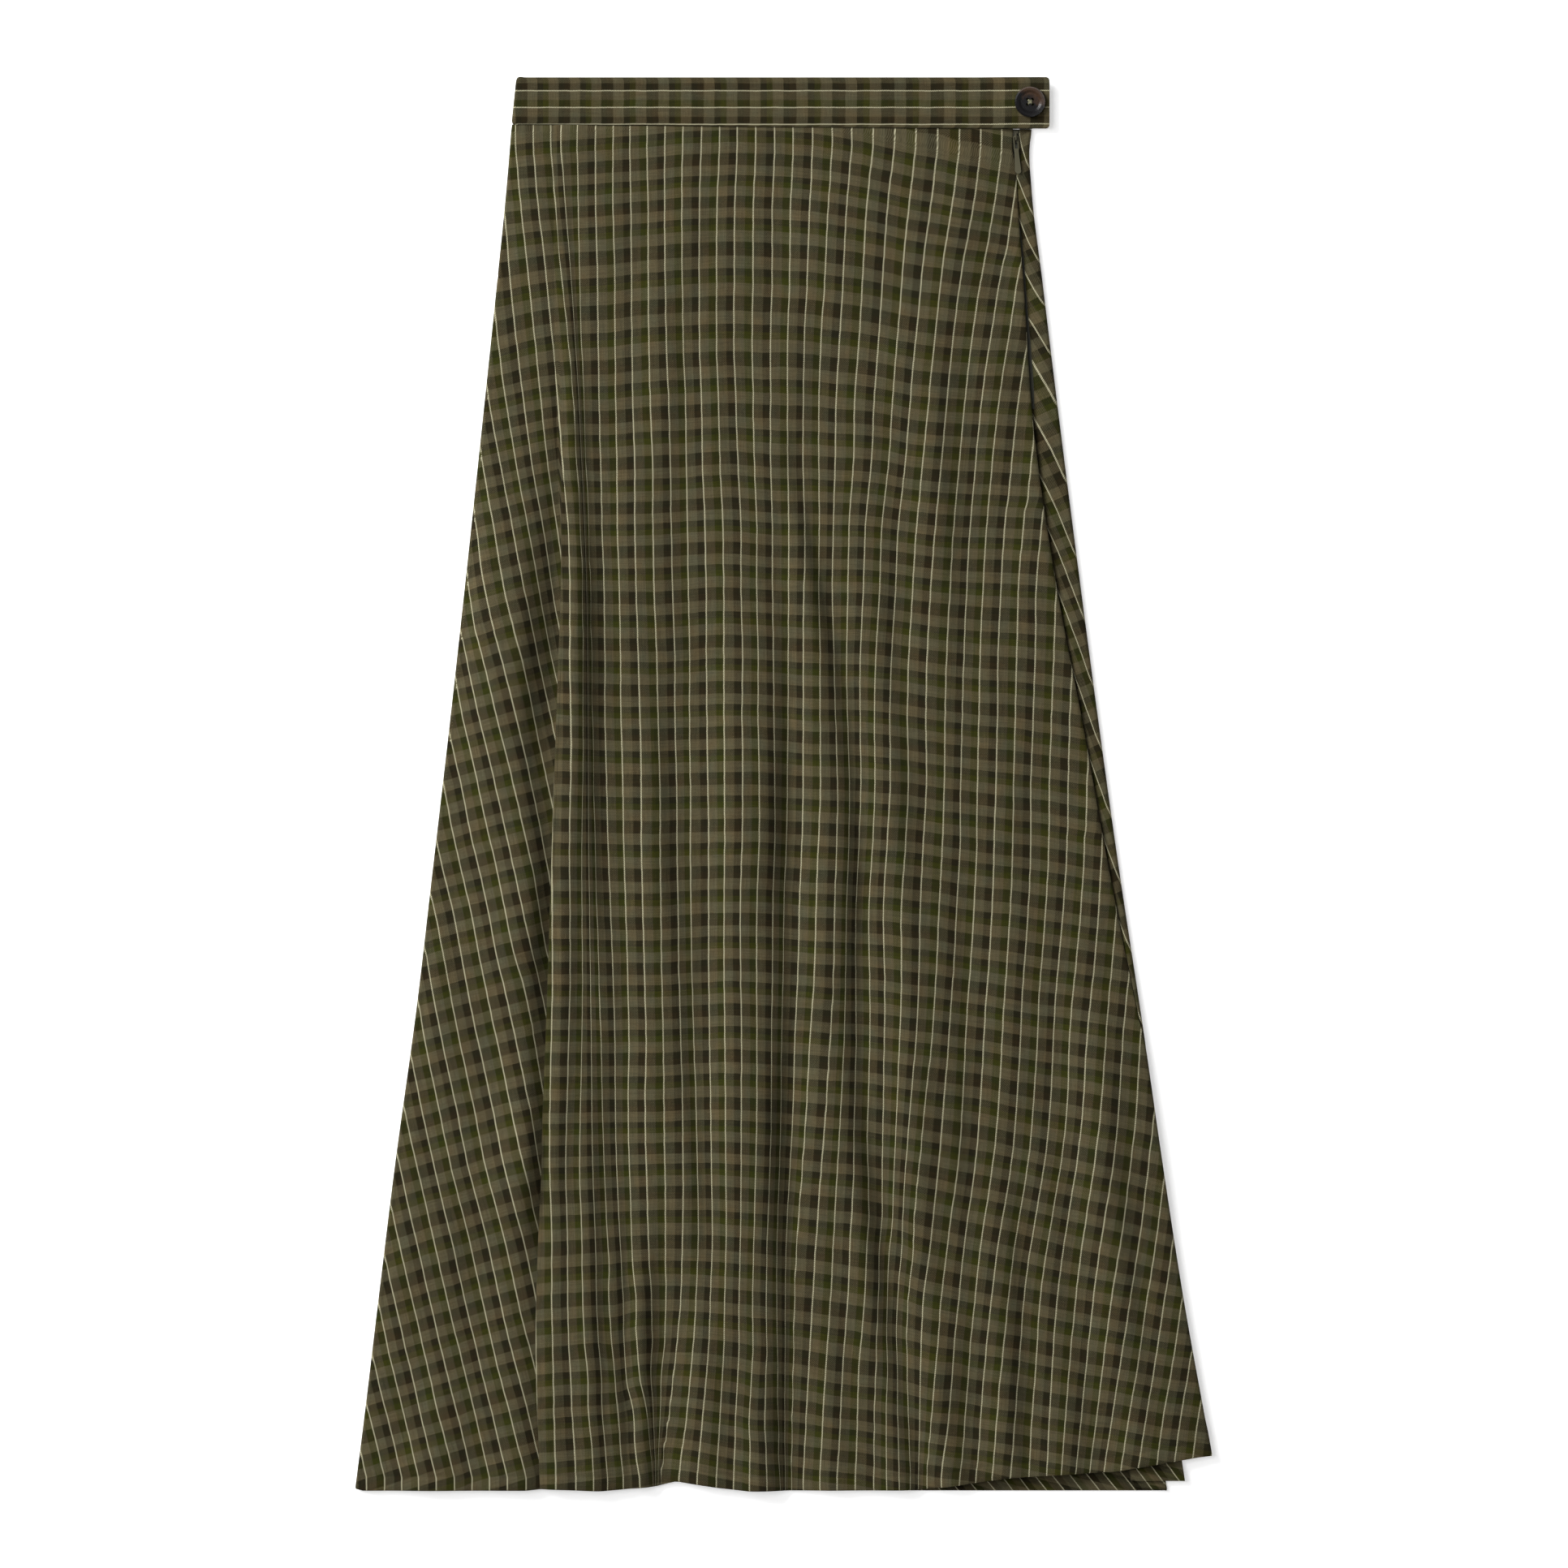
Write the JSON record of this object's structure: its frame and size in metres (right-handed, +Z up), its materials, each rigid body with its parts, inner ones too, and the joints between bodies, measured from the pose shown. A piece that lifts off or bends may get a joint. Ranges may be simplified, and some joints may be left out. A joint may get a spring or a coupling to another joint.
{
  "type": "midi skirt",
  "caption": "A-line checked wool midi skirt laid flat, with a buttoned waistband tab, a concealed side zip and a deep soft fold down one side.",
  "frame": {"origin": "middle of the ground that the laid skirt covers, at its underside", "axes": "+Y towards the waist, +X to the right as seen from above, +Z up from the surface that it lies on"},
  "size_m": [0.5062, 0.8362, 0.0112],
  "materials": {
    "check_cloth": "brushed wool twill with a small olive, taupe and brown check and fine cream stripes",
    "band_cloth": "the same checked wool twill, interlined, its stripes running along the band",
    "tape_cloth": "plain dark woven tape",
    "slider_metal": "olive lacquered metal",
    "pull_metal": "olive lacquered metal",
    "horn": "polished dark horn effect with a brown cloud"
  },
  "bodies": {
    "skirt": {"front_panel": "check_cloth", "back_panel": "check_cloth", "waistband": "band_cloth", "zip_tape": "tape_cloth", "zip_slider": "slider_metal", "button": "horn"},
    "pull": {"pull_tab": "pull_metal"}
  },
  "joints": [
    {"name": "pull_hinge", "type": "hinge", "parent": "skirt", "child": "pull", "pos_m": [0.13716, 0.3828, 0.0048], "axis": [-1, 0, 0], "range_deg": [0, 130]}
  ]
}
